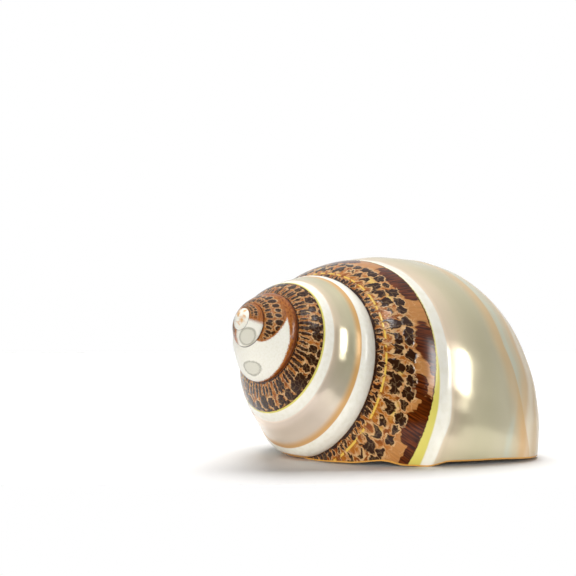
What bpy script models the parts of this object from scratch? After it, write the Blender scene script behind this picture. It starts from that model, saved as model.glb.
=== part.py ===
"""A turban shell with pearl bands ground through its outer layer, lying on its aperture.

The shell is one tube that grows as it winds. Every point is found from a turn angle, which counts
growth along the spiral, and a station, an angle round the outline of one whorl. Angle 0 of the turn
faces the front, and the whorl runs down the front to the lip.
"""

import math

import bpy
import numpy as np

MM = 0.001

# Growth: how much wider and how much longer the spiral is after each turn.
WIDTH_PER_TURN = 2.043
LENGTH_PER_TURN = 2.478
TURNS = 4.25
LIP_TURN = math.radians(75.6)

# Outline of the whorl at turn angle 0: a circle with three gentle waves, about a centre given as
# its distance from the axis and its distance below the apex.
WHORL_CENTRE = (9.1 * MM, 42.1 * MM)
WHORL_RADIUS = 21.1 * MM
OUTLINE_WAVES = {2: (-0.9 * MM, -1.55 * MM), 3: (0.2 * MM, -1.6 * MM), 4: (-0.85 * MM, 0.0)}

# Stations round that outline, from the upper suture down to the base.
SUTURE = math.radians(71)
BROWN_EDGE = math.radians(37.7)
PEARL_TOP = math.radians(27.4)
PEARL_FOOT = math.radians(-6.5)
LOWER_SUTURE = math.radians(-28.9)
BASE_END = math.radians(-60)

# Relief of the ground bands at turn angle 0, and the turns over which the grinding starts.
PEARL_DEPTH = 0.55 * MM
GROUND_FROM = math.radians(-600)
GROUND_FULL = math.radians(-500)
LOWER_LEDGE_FADE = (math.radians(-250), math.radians(-150))

# Wall, lip and columella.
WALL = 1.9 * MM
LIP_WALL = 1.1 * MM
CALLUS = 0.3 * MM
WALL_SETTLES = math.radians(35)
COLUMELLA_RADIUS = 5.5 * MM
COLUMELLA_TIP = 64.0 * MM
TIP_BEND = 3.45 * MM
CAVITY_TURNS = 1.25
LEAN_RAMP = math.radians(200)

# How the shell lies: its axis points left, towards the front and up.
AXIS_YAW = math.radians(39.0)
AXIS_LIFT = math.radians(29.2)
APEX_HEIGHT = 27.45 * MM

# The lip's clearance over the ground at stations along it: it stands on its keel and its base.
LIP_CLEARANCE = (
    (SUTURE, 0.1 * MM),
    (math.radians(62), 0.4 * MM),
    (math.radians(50), 1.1 * MM),
    (BROWN_EDGE, 0.25 * MM),
    (PEARL_TOP, 0.0),
    (math.radians(16), 0.9 * MM),
    (PEARL_FOOT, 0.9 * MM),
    (math.radians(-35), 0.5 * MM),
    (math.radians(-45), 0.0),
    (BASE_END, 0.0),
)

# Mesh density.
STEPS_PER_TURN = 40
BROWN_STEPS, LEDGE_STEPS, PEARL_STEPS, LOWER_STEPS = 5, 2, 3, 3
BASE_STEPS = 4
COLUMELLA_STEPS = 9
COLUMELLA_IN_CAVITY = 7
FOOT_STEPS = COLUMELLA_IN_CAVITY - 1
CAP_RINGS = 2

MATERIAL_COLOUR = (0.74, 0.68, 0.55, 1.0)
ROUGHNESS = 0.2

WIDTH_RATE = math.log(WIDTH_PER_TURN) / math.tau
LENGTH_RATE = math.log(LENGTH_PER_TURN) / math.tau
FIRST_TURN = LIP_TURN - TURNS * math.tau


def smooth_step(value, start, end):
    """0 before start, 1 after end, and a smooth rise between them."""
    share = np.clip((value - start) / (end - start), 0, 1)
    return share * share * (3 - 2 * share)


def shell_axes():
    """The axis towards the apex, the direction of turn angle 0, and the one a quarter turn before it."""
    axis = np.array(
        [
            -math.cos(AXIS_YAW) * math.cos(AXIS_LIFT),
            -math.sin(AXIS_YAW),
            math.cos(AXIS_YAW) * math.sin(AXIS_LIFT),
        ]
    )
    front = np.array([0.0, -1.0, 0.0])
    front -= axis * front.dot(axis)
    front /= np.linalg.norm(front)
    return axis, front, np.cross(axis, front)


def outline(station):
    """Distance from the axis and distance below the apex, round the whorl at turn angle 0."""
    radius = WHORL_RADIUS
    for wave, (cosine, sine) in OUTLINE_WAVES.items():
        radius = radius + cosine * np.cos(wave * station) + sine * np.sin(wave * station)
    return (
        WHORL_CENTRE[0] + radius * np.cos(station),
        WHORL_CENTRE[1] - radius * np.sin(station),
    )


def outline_normal(station):
    """Outward unit normal of the outline, as (away from the axis, away from the apex)."""
    step = 1e-4
    across_0, down_0 = outline(station - step)
    across_1, down_1 = outline(station + step)
    tangent_across, tangent_down = across_1 - across_0, down_1 - down_0
    length = np.hypot(tangent_across, tangent_down)
    return -tangent_down / length, tangent_across / length


def ground_depth(turn, station):
    """How deep the bands are ground below the outline at turn angle 0."""
    down_the_ledge = smooth_step(-station, -BROWN_EDGE, -PEARL_TOP)
    up_the_foot = smooth_step(-station, -PEARL_FOOT, -PEARL_FOOT + 0.45 * (PEARL_FOOT - LOWER_SUTURE))
    foot_is_left = 1 - smooth_step(turn, *LOWER_LEDGE_FADE)
    started = smooth_step(turn, GROUND_FROM, GROUND_FULL)
    return PEARL_DEPTH * started * down_the_ledge * (1 - up_the_foot * foot_is_left)


def section(turn, station, inset=0.0):
    """(across, down) of the shell's surface, with each whorl's lower edge brought to the next suture."""
    across, down = outline(station)
    normal_across, normal_down = outline_normal(station)
    depth = ground_depth(turn, station) + inset
    across, down = across - depth * normal_across, down - depth * normal_down
    suture_across, suture_down = outline(SUTURE)
    lower_across, lower_down = outline(LOWER_SUTURE)
    share = smooth_step(-station, -SUTURE, -LOWER_SUTURE)
    share = share * (1 - smooth_step(turn, LIP_TURN - math.tau, LIP_TURN - math.tau + LEAN_RAMP))
    across = across + share * (WIDTH_PER_TURN * suture_across - lower_across)
    down = down + share * (LENGTH_PER_TURN * suture_down - lower_down)
    return across * np.exp(WIDTH_RATE * turn), down * np.exp(LENGTH_RATE * turn)


def place(turn, across, down):
    """Points of space for distances from the axis and below the apex, at a turn angle."""
    axis, front, side = shell_axes()
    turn, across, down = np.broadcast_arrays(turn, across, down)
    round_axis = np.cos(turn)[..., None] * front - np.sin(turn)[..., None] * side
    return across[..., None] * round_axis - down[..., None] * axis + np.array([0, 0, APEX_HEIGHT])


def lip_clearance(station):
    """Height of the lip over the ground, smooth between the stations of LIP_CLEARANCE."""
    for (upper, before), (lower, after) in zip(LIP_CLEARANCE, LIP_CLEARANCE[1:]):
        if station >= lower:
            return before + (after - before) * float(smooth_step(-station, -upper, -lower))
    return LIP_CLEARANCE[-1][1]


def lip_turns(around, inset=0.0):
    """Turn angles at which the wall comes down to the lip's edge, found by halving."""
    clearance = np.array([lip_clearance(station) for station in around])
    above = np.full(len(around), math.radians(-40))
    below = np.full(len(around), LIP_TURN)
    for _ in range(30):
        middle = (above + below) / 2
        too_high = place(middle, *section(middle, around, inset))[:, 2] > clearance
        above = np.where(too_high, middle, above)
        below = np.where(too_high, below, middle)
    return np.append(LIP_TURN, above[1:])


def stations():
    """Stations from the upper suture to the end of the base."""
    spans = (
        (SUTURE, BROWN_EDGE, BROWN_STEPS),
        (BROWN_EDGE, PEARL_TOP, LEDGE_STEPS),
        (PEARL_TOP, PEARL_FOOT, PEARL_STEPS),
        (PEARL_FOOT, LOWER_SUTURE, LOWER_STEPS),
        (LOWER_SUTURE, BASE_END, BASE_STEPS),
    )
    parts = [np.linspace(start, end, steps + 1)[:-1] for start, end, steps in spans]
    # The brown part's stations lie closer together near the suture, where the lip leans most.
    parts[0] = SUTURE + (BROWN_EDGE - SUTURE) * np.linspace(0, 1, BROWN_STEPS + 1)[:-1] ** 1.4
    return np.concatenate(parts + [[BASE_END]])


def base_controls(turn, across, down, tip_turn, width=1.0, length=1.0):
    """Control points of the curve from the end of the base to the tip of the columella.

    The tip bends off the axis towards the mouth. width and length scale the columella inside.
    """
    tip_down = COLUMELLA_TIP * length
    above_tip = tip_down - 0.12 * (tip_down - down)
    controls = place(
        np.array([turn, turn, turn, tip_turn]),
        np.array([across, 0.61 * across, COLUMELLA_RADIUS * width, TIP_BEND * width]),
        np.array([down, down + 0.225 * across, above_tip, tip_down]),
    )
    controls[2] += 0.6 * (controls[3] - place(0.0, 0.0, tip_down))
    return controls


def bend(controls, steps):
    """Points along a curve with four control points, without its start."""
    share = np.linspace(0, 1, steps + 1)[1:, None]
    weights = ((1 - share) ** 3, 3 * share * (1 - share) ** 2, 3 * share**2 * (1 - share), share**3)
    return sum(weight * control for weight, control in zip(weights, controls))


class Mesh:
    """Vertices and faces as they are added."""

    def __init__(self):
        self.points = []
        self.faces = []

    def add(self, points):
        """Adds points and returns their numbers."""
        first = len(self.points)
        self.points.extend(np.asarray(points, float).reshape(-1, 3))
        return list(range(first, len(self.points)))

    def strip(self, left, right):
        """Faces between two rows of vertex numbers, without the ones that have no area."""
        for a, b, c, d in zip(left, left[1:], right[1:], right):
            corners = []
            for corner in (d, c, b, a):
                if corner not in corners:
                    corners.append(corner)
            if len(corners) > 2:
                self.faces.append(corners)


def leaning_turns(turn, lip):
    """Turn angles of one row, which leans back more and more towards the lip."""
    return turn + (lip - LIP_TURN) * smooth_step(turn, LIP_TURN - LEAN_RAMP, LIP_TURN)


def above_ground(points, height=0.0):
    """The points, none of them lower than a height."""
    points[:, 2] = np.maximum(points[:, 2], height)
    return points


def outer_surface(mesh):
    """Adds the outside as rows of vertex numbers, one row to a step of the turn."""
    around = stations()
    lip = lip_turns(around)
    visible = int(np.argmin(abs(around - LOWER_SUTURE))) + 1
    columns = round(TURNS * STEPS_PER_TURN) + 1
    last_turn = columns - 1 - STEPS_PER_TURN
    rows = [None] * columns
    tip = mesh.add(place(LIP_TURN, TIP_BEND, COLUMELLA_TIP))
    for index in reversed(range(columns)):
        turn = FIRST_TURN + math.tau / STEPS_PER_TURN * index
        if index == 0:
            # The spiral starts at a point of the suture.
            rows[0] = [rows[STEPS_PER_TURN][0]] * visible
        elif index < last_turn:
            points = place(turn, *section(turn, around[: visible - 1]))
            if index < STEPS_PER_TURN:
                lower = np.array(mesh.points[rows[index + STEPS_PER_TURN][0]])
                points = lower + (points - lower) * index / STEPS_PER_TURN
            rows[index] = mesh.add(points) + [rows[index + STEPS_PER_TURN][0]]
        else:
            leaning = leaning_turns(turn, lip)
            across, down = section(leaning, around)
            row = mesh.add(place(leaning, across, down))
            if index == last_turn:
                row[visible - 1] = rows[-1][0]
            controls = base_controls(leaning[-1], across[-1], down[-1], LIP_TURN)
            base = above_ground(bend(controls, COLUMELLA_STEPS))
            rows[index] = row + mesh.add(base[:-1]) + tip
    for left, right in zip(rows, rows[1:]):
        shared = min(len(left), len(right))
        mesh.strip(left[:shared], right[:shared])
    return rows, visible


def cap_apex(mesh, edge):
    """Closes the spiral's start with a low dome."""
    ring = np.array([mesh.points[number] for number in edge])
    centre = ring.mean(axis=0)
    axis = shell_axes()[0]
    rise = 0.55 * np.linalg.norm(ring - centre, axis=1).mean()
    outer = edge
    for step in range(1, CAP_RINGS + 1):
        share = step / (CAP_RINGS + 1)
        inner = mesh.add(ring + share * (centre - ring) + axis * rise * math.sin(share * math.pi / 2))
        mesh.strip(outer + outer[:1], inner + inner[:1])
        outer = inner
    top = mesh.add(centre + axis * rise)
    mesh.strip(outer + outer[:1], top * (len(outer) + 1))


def cavity_loop(mesh, turn, visible, mouth=None):
    """One loop round the cavity: parietal wall, columella, floor, and the inside of the wall."""
    around = stations()
    settled = smooth_step(LIP_TURN - turn, 0.0, WALL_SETTLES)
    wall = LIP_WALL + (WALL - LIP_WALL) * settled
    inset = wall / np.exp(WIDTH_RATE * LIP_TURN)
    leaning = leaning_turns(turn, lip_turns(around, inset))[1:]
    inner = place(leaning, *section(leaning, around[1:], inset))[::-1]
    growth = np.exp(np.array([WIDTH_RATE, LENGTH_RATE]) * (turn - LIP_TURN))
    if mouth is None:
        across, down = section(turn - math.tau, around[visible:], -CALLUS * settled)
        pillar = bend(base_controls(turn, across[-1], down[-1], turn, *growth), COLUMELLA_STEPS)
        mouth = mesh.add(place(turn, across, down)) + mesh.add(pillar[:COLUMELLA_IN_CAVITY])
    foot = np.array(mesh.points[mouth[-1]])
    across, down = section(leaning[-1], BASE_END)
    base = base_controls(leaning[-1], across, down, turn, *growth)
    controls = [
        foot,
        foot + 0.7 * (base[2] - base[3]),
        inner[0] + 0.85 * (base[1] - base[0]),
        inner[0],
    ]
    floor = above_ground(bend(controls, FOOT_STEPS + 1)[:-1], wall * settled)
    return mouth + mesh.add(floor) + mesh.add(inner)


def build_shell():
    """Outside, lip and cavity, as one closed mesh."""
    mesh = Mesh()
    rows, visible = outer_surface(mesh)
    cap_apex(mesh, [row[0] for row in rows[:STEPS_PER_TURN]])
    lip, start = rows[-1], rows[-1 - STEPS_PER_TURN]
    base_end = len(stations())

    mouth = start[visible : base_end + COLUMELLA_IN_CAVITY]
    loops = [cavity_loop(mesh, LIP_TURN, visible, mouth)]
    for step in range(1, round(CAVITY_TURNS * STEPS_PER_TURN) + 1):
        loops.append(cavity_loop(mesh, LIP_TURN - step * math.tau / STEPS_PER_TURN, visible))
        mesh.strip(loops[-1] + loops[-1][:1], loops[-2] + loops[-2][:1])
    end = loops[-1]
    centre = mesh.add(np.mean([mesh.points[number] for number in end], axis=0))
    mesh.strip(centre * (len(end) + 1), end + end[:1])

    # The lip's edge joins the outside to the inside, and its foot joins the columella's tip.
    inner_edge = loops[0][len(mouth) + FOOT_STEPS :][::-1]
    mesh.faces.append([mouth[0], inner_edge[0], lip[1], lip[0]])
    mesh.strip(lip[1:base_end], inner_edge)
    floor = loops[0][len(mouth) - 1 : len(mouth) + FOOT_STEPS][::-1]
    rest_of_start = start[base_end + COLUMELLA_IN_CAVITY :]
    mesh.strip(lip[base_end - 1 :], inner_edge[-1:] + floor + rest_of_start)
    return mesh


def make_object(mesh):
    """The Blender object, moved so that it stands on the ground with its box centred on the origin."""
    points = np.array(mesh.points)
    low, high = points.min(axis=0), points.max(axis=0)
    points -= [(low[0] + high[0]) / 2, (low[1] + high[1]) / 2, low[2]]
    data = bpy.data.meshes.new("shell")
    data.from_pydata(points.tolist(), [], mesh.faces)
    data.validate()
    shell = bpy.data.objects.new("shell", data)
    bpy.context.scene.collection.objects.link(shell)
    material = bpy.data.materials.new("polished_shell")
    material.use_nodes = True
    finish = material.node_tree.nodes["Principled BSDF"]
    finish.inputs["Base Color"].default_value = MATERIAL_COLOUR
    finish.inputs["Roughness"].default_value = ROUGHNESS
    finish.inputs["Metallic"].default_value = 0.0
    data.materials.append(material)
    data.shade_smooth()
    data.set_sharp_from_angle(angle=math.radians(40))
    return shell


def main():
    """Clears the scene and builds the shell."""
    for obj in list(bpy.data.objects):
        bpy.data.objects.remove(obj)
    make_object(build_shell())


if __name__ == "__main__":
    main()
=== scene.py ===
"""Dresses the turban shell: its fine mesh, its brown layer, the bands ground to pearl, and the studio."""

import logging
import math
from dataclasses import dataclass, field
from enum import Enum
from typing import Sequence

import bpy
import numpy as np
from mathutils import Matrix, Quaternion, Vector


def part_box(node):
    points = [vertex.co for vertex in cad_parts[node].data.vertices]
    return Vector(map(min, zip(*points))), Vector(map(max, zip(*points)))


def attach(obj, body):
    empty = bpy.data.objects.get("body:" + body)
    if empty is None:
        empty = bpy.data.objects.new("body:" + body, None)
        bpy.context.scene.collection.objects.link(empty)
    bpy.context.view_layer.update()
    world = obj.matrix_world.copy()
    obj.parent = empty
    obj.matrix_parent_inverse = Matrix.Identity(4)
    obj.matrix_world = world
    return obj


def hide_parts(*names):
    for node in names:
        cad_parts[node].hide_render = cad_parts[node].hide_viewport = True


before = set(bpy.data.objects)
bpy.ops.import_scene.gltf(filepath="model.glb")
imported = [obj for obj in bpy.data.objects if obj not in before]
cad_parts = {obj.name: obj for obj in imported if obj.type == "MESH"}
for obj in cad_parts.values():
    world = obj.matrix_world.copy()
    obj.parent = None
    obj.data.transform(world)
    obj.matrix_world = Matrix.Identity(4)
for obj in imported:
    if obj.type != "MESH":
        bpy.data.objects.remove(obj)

LOG = logging.getLogger("turban_shell")
MM = 0.001
NODE = "shell"
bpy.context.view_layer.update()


def linear(hex_colour: str) -> tuple[float, float, float, float]:
    """Turns an sRGB hex colour into a linear one with alpha.

    Args:
        hex_colour: Six hex digits, with or without a leading #.

    Returns:
        Red, green, blue and alpha.
    """
    digits = hex_colour.lstrip("#")
    channels = []
    for start in (0, 2, 4):
        value = int(digits[start : start + 2], 16) / 255
        channels.append(value / 12.92 if value <= 0.04045 else ((value + 0.055) / 1.055) ** 2.4)
    return (channels[0], channels[1], channels[2], 1.0)


def smooth_step(value: np.ndarray | float, start: float, end: float) -> np.ndarray:
    """A smooth rise from 0 at start to 1 at end.

    Args:
        value: Where to read it.
        start: Where the rise starts.
        end: Where it ends.

    Returns:
        The share, between 0 and 1.
    """
    share = np.clip((np.asarray(value, float) - start) / (end - start), 0, 1)
    return share * share * (3 - 2 * share)


class Zone(Enum):
    """The surfaces of the shell, each with its own finish."""

    OUTSIDE = 0
    LIP_EDGE = 1
    INSIDE = 2


@dataclass(frozen=True)
class Growth:
    """The spiral that the shell grew along. Turn angle 0 faces the front, and the lip is at lip_turn."""

    width_per_turn: float = 2.043
    length_per_turn: float = 2.478
    turns: float = 4.25
    lip_turn: float = math.radians(75.6)
    axis_yaw: float = math.radians(39.0)
    axis_lift: float = math.radians(29.2)
    apex: tuple[float, float, float] = (0.0, 0.0, 27.45 * MM)

    @property
    def width_rate(self) -> float:
        """Growth in width to a radian of turn, as a logarithm."""
        return math.log(self.width_per_turn) / math.tau

    @property
    def length_rate(self) -> float:
        """Growth in length to a radian of turn, as a logarithm."""
        return math.log(self.length_per_turn) / math.tau

    @property
    def first_turn(self) -> float:
        """Turn angle where the spiral starts."""
        return self.lip_turn - self.turns * math.tau

    @property
    def axes(self) -> tuple[np.ndarray, np.ndarray, np.ndarray]:
        """The axis towards the apex, the direction of turn angle 0, and the one a quarter turn before."""
        axis = np.array(
            [
                -math.cos(self.axis_yaw) * math.cos(self.axis_lift),
                -math.sin(self.axis_yaw),
                math.cos(self.axis_yaw) * math.sin(self.axis_lift),
            ]
        )
        front = np.array([0.0, -1.0, 0.0])
        front -= axis * front.dot(axis)
        front /= np.linalg.norm(front)
        return axis, front, np.cross(axis, front)

    def place(self, turn: np.ndarray, across: np.ndarray, down: np.ndarray) -> np.ndarray:
        """Points of space.

        Args:
            turn: Turn angles.
            across: Distances from the axis.
            down: Distances below the apex, along the axis.

        Returns:
            The points, with x, y and z last.
        """
        axis, front, side = self.axes
        turn, across, down = np.broadcast_arrays(turn, across, down)
        round_axis = np.cos(turn)[..., None] * front - np.sin(turn)[..., None] * side
        return across[..., None] * round_axis - down[..., None] * axis + np.array(self.apex)


@dataclass(frozen=True)
class Whorl:
    """The outline of one whorl at turn angle 0, and the stations round it where the surface changes."""

    centre: tuple[float, float] = (9.1 * MM, 42.1 * MM)
    radius: float = 21.1 * MM
    waves: dict[int, tuple[float, float]] = field(
        default_factory=lambda: {
            2: (-0.9 * MM, -1.55 * MM),
            3: (0.2 * MM, -1.6 * MM),
            4: (-0.85 * MM, 0.0),
        }
    )
    suture: float = math.radians(71)
    brown_edge: float = math.radians(37.7)
    pearl_top: float = math.radians(27.4)
    pearl_foot: float = math.radians(-6.5)
    lower_suture: float = math.radians(-28.9)
    base_end: float = math.radians(-60)

    def point(self, station: np.ndarray) -> tuple[np.ndarray, np.ndarray]:
        """The outline.

        Args:
            station: Angles round the whorl.

        Returns:
            Distances from the axis and distances below the apex.
        """
        radius = self.radius
        for wave, (cosine, sine) in self.waves.items():
            radius = radius + cosine * np.cos(wave * station) + sine * np.sin(wave * station)
        return (
            self.centre[0] + radius * np.cos(station),
            self.centre[1] - radius * np.sin(station),
        )

    def normal(self, station: np.ndarray) -> tuple[np.ndarray, np.ndarray]:
        """Outward unit normals of the outline.

        Args:
            station: Angles round the whorl.

        Returns:
            The parts away from the axis and away from the apex.
        """
        step = 1e-4
        across_0, down_0 = self.point(station - step)
        across_1, down_1 = self.point(station + step)
        tangent_across, tangent_down = across_1 - across_0, down_1 - down_0
        length = np.hypot(tangent_across, tangent_down)
        return -tangent_down / length, tangent_across / length


@dataclass(frozen=True)
class Relief:
    """How the outside stands above and below the plain outline, in metres at turn angle 0."""

    pearl_depth: float = 0.55 * MM
    ground_from: float = math.radians(-600)
    ground_full: float = math.radians(-500)
    lower_ledge_fade: tuple[float, float] = (math.radians(-250), math.radians(-150))
    cord_height: float = 0.10 * MM
    cord_station: float = math.radians(65.4)
    cord_width: float = math.radians(0.9)
    ripple_height: float = 0.03 * MM
    crown_height: tuple[float, float] = (0.60 * MM, 0.72 * MM)
    crown_station: tuple[float, float] = (math.radians(23), math.radians(15))
    crown_half: tuple[float, float] = (math.radians(18), math.radians(24))
    crown_changes: tuple[float, float] = (math.radians(-280), math.radians(-160))
    bulge_height: float = 0.85 * MM
    bulge_place: tuple[float, float] = (math.radians(5), math.radians(-32))
    bulge_half: tuple[float, float] = (math.radians(60), math.radians(20))

    def depth(self, turn: np.ndarray, station: np.ndarray, whorl: Whorl) -> np.ndarray:
        """How far the surface lies below the plain outline.

        Args:
            turn: Turn angles.
            station: Stations round the whorl.
            whorl: The outline.

        Returns:
            The depth at turn angle 0's size.
        """
        ledge = smooth_step(-station, -whorl.brown_edge, -whorl.pearl_top)
        foot_end = -whorl.pearl_foot + 0.45 * (whorl.pearl_foot - whorl.lower_suture)
        foot = smooth_step(-station, -whorl.pearl_foot, foot_end)
        foot_is_left = 1 - smooth_step(turn, *self.lower_ledge_fade)
        started = smooth_step(turn, self.ground_from, self.ground_full)
        ground = self.pearl_depth * started * ledge * (1 - foot * foot_is_left)
        cord = self.cord_height * np.exp(-(((station - self.cord_station) / self.cord_width) ** 2))
        ripple = self.ripple_height * np.sin(turn * 23 + 4 * np.sin(turn * 3)) * ledge
        # Grinding leaves the pearl crowned, and the last whorl is fullest low down by the lip.
        later = smooth_step(turn, *self.crown_changes)
        crown_height, crown_station, crown_half = (
            before + (after - before) * later
            for before, after in (self.crown_height, self.crown_station, self.crown_half)
        )
        off_crown = np.clip((station - crown_station) / crown_half, -1, 1)
        crown = crown_height * started * (0.5 + 0.5 * np.cos(off_crown * math.pi))
        off_turn = np.clip((turn - self.bulge_place[0]) / self.bulge_half[0], -1, 1)
        off_station = np.clip((station - self.bulge_place[1]) / self.bulge_half[1], -1, 1)
        bulge = (0.5 + 0.5 * np.cos(off_turn * math.pi)) * (0.5 + 0.5 * np.cos(off_station * math.pi))
        return ground - cord - ripple - crown - self.bulge_height * bulge


@dataclass(frozen=True)
class Density:
    """How finely the mesh is divided."""

    steps_per_turn: int = 240
    cavity_step: int = 5
    brown: int = 34
    ledge: int = 12
    pearl: int = 30
    lower: int = 16
    base: int = 14
    columella: int = 24
    columella_in_cavity: int = 18
    coarse_turns: float = 2.25


@dataclass
class MeshDraft:
    """Points, faces and what is stored on them, as they are added."""

    points: list[np.ndarray] = field(default_factory=list)
    turns: list[float] = field(default_factory=list)
    stations: list[float] = field(default_factory=list)
    faces: list[list[int]] = field(default_factory=list)
    zones: list[Zone] = field(default_factory=list)

    def add(self, points: np.ndarray, turn: np.ndarray | float, station: np.ndarray | float) -> list[int]:
        """Adds points.

        Args:
            points: The points.
            turn: Their turn angles.
            station: Their stations.

        Returns:
            Their numbers.
        """
        points = np.asarray(points, float).reshape(-1, 3)
        first = len(self.points)
        self.points.extend(points)
        self.turns.extend(np.broadcast_to(turn, len(points)))
        self.stations.extend(np.broadcast_to(station, len(points)))
        return list(range(first, len(self.points)))

    def face(self, corners: Sequence[int], zone: Zone) -> None:
        """Adds a face, unless its corners leave it no area."""
        kept = list(dict.fromkeys(corners))
        if len(kept) > 2:
            self.faces.append(kept)
            self.zones.append(zone)

    def strip(self, left: Sequence[int], right: Sequence[int], zone: Zone) -> None:
        """Joins two rows of numbers. The right row may have twice the steps of the left one.

        Args:
            left: One row.
            right: The next row.
            zone: The finish of the faces between them.
        """
        if len(right) > len(left):
            for place, (upper, lower) in enumerate(zip(left, left[1:])):
                first, middle, last = right[2 * place : 2 * place + 3]
                self.face([first, middle, last, lower, upper], zone)
            return
        for a, b, c, d in zip(left, left[1:], right[1:], right):
            self.face([d, c, b, a], zone)


@dataclass(frozen=True)
class Markings:
    """Where the surface changes along the spiral, as pairs of turn angle and station in degrees."""

    bare_upper: tuple[tuple[float, float], ...] = (
        (-790, -10), (-762, 2), (-752, 10), (-738, 24), (-715, 44), (-696, 62), (-685, 76), (-610, 76),
        (-560, 50), (-520, 42), (-280, 41.5), (-80, 37.8), (120, 37.4),
    )
    bare_lower: tuple[tuple[float, float], ...] = (
        (-790, 10), (-762, 6), (-752, 3), (-725, -8), (-666, -19), (-600, -23), (-560, -40), (120, -90),
    )
    pearl_upper: tuple[tuple[float, float], ...] = (
        (-570, -40), (-500, 27), (-280, 28.5), (-40, 28.9), (-20, 27.2), (-4, 24.0), (4, 25.0), (14, 24.7),
        (120, 24.0),
    )
    pearl_lower: tuple[tuple[float, float], ...] = ((-300, -8.4), (-250, -9), (-160, -40), (120, -90))
    tan_line: tuple[tuple[float, float], ...] = (
        (-572, -60), (-556, -7.0), (-250, -7.4), (-63, -10.5), (-42, -11.0), (-33, -14.0), (-24, -16.8), (-16, -19.6),
        (-7, -25), (30, -40),
    )
    yellow_foot: tuple[tuple[float, float], ...] = (
        (-572, 90), (-558, 39.4), (-280, 39.8), (-80, 37.5), (-45, 37.3), (-31, 36.8), (-19, 35.1),
        (-6, 33.4), (7, 32.6), (18, 31.2), (60, 30.5),
    )
    worn_tips: tuple[tuple[float, float], ...] = ((-1098, -985), (-1500, -1222))
    ovals: tuple[tuple[float, float, float, float], ...] = ((-1035, 25, 32, 42), (-649, 20, 17.5, 19))
    gold_spots: tuple[tuple[float, float, float, float], ...] = (
        (-77, 58.0, 5.5, 3.4), (-60, 56.0, 4, 1.8), (-17, 57.5, 4, 2.2), (3, 56.4, 6, 2.6),
        (17, 58.5, 4, 1.8), (-118, 57.0, 5, 2.6), (-160, 58.5, 5, 3.0), (-214, 57.0, 5, 2.6),
    )
    blotches: tuple[tuple[float, float, float, float], ...] = (
        (-72, 42.5, 15, 7.0), (-35, 43.0, 9, 7.0), (-29, 39.0, 9, 4.0), (-13, 46.5, 6, 5.0),
        (-1, 40.8, 9, 4.8), (6, 45.0, 8, 5.2), (18, 39.5, 10, 3.4), (40, 42.0, 11, 5.5),
        (-112, 44.0, 12, 5.5), (-150, 42.0, 14, 6.0), (-192, 46.0, 10, 5.0), (-232, 42.0, 13, 6.0),
        (-268, 45.0, 10, 4.5), (-260, -66, 16, 5), (-205, -72, 16, 5), (-160, -79, 16, 5), (-110, -84, 16, 5),
    )

    @staticmethod
    def along(pairs: Sequence[tuple[float, float]], turn: np.ndarray) -> np.ndarray:
        """Reads a line of pairs at turn angles, all in degrees."""
        turns, stations = zip(*pairs)
        return np.interp(turn, turns, stations)

    def fields(self, turn: np.ndarray, station: np.ndarray) -> dict[str, np.ndarray]:
        """What the finish needs to know at each point, in degrees of station where it is a distance.

        Args:
            turn: Turn angles in degrees.
            station: Stations in degrees.

        Returns:
            Fields by name: how far inside the bare surface, the pearl, the yellow edge, a blotch,
            a worn oval and a gold spot each point lies, and how far above the tan line.
        """
        upper = self.along(self.bare_upper, turn)
        bare = np.minimum(upper - station, station - self.along(self.bare_lower, turn))
        for start, end in self.worn_tips:
            bare = np.maximum(bare, np.minimum(turn - start, end - turn) / 3)
        pearl = np.minimum(
            self.along(self.pearl_upper, turn) - station,
            station - self.along(self.pearl_lower, turn),
        )
        spots = {"blotch": self.blotches, "oval": self.ovals, "gold": self.gold_spots}
        spotted = {name: np.full_like(turn, -1.0) for name in spots}
        for name, places in spots.items():
            for centre, height, reach, width in places:
                away = np.hypot((turn - centre) / reach, (station - height) / width)
                spotted[name] = np.maximum(spotted[name], 1 - away)
        return {
            "bare": bare,
            "pearl": pearl,
            "yellow": station - self.along(self.yellow_foot, turn),
            "tan": station - self.along(self.tan_line, turn),
            **spotted,
        }


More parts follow.
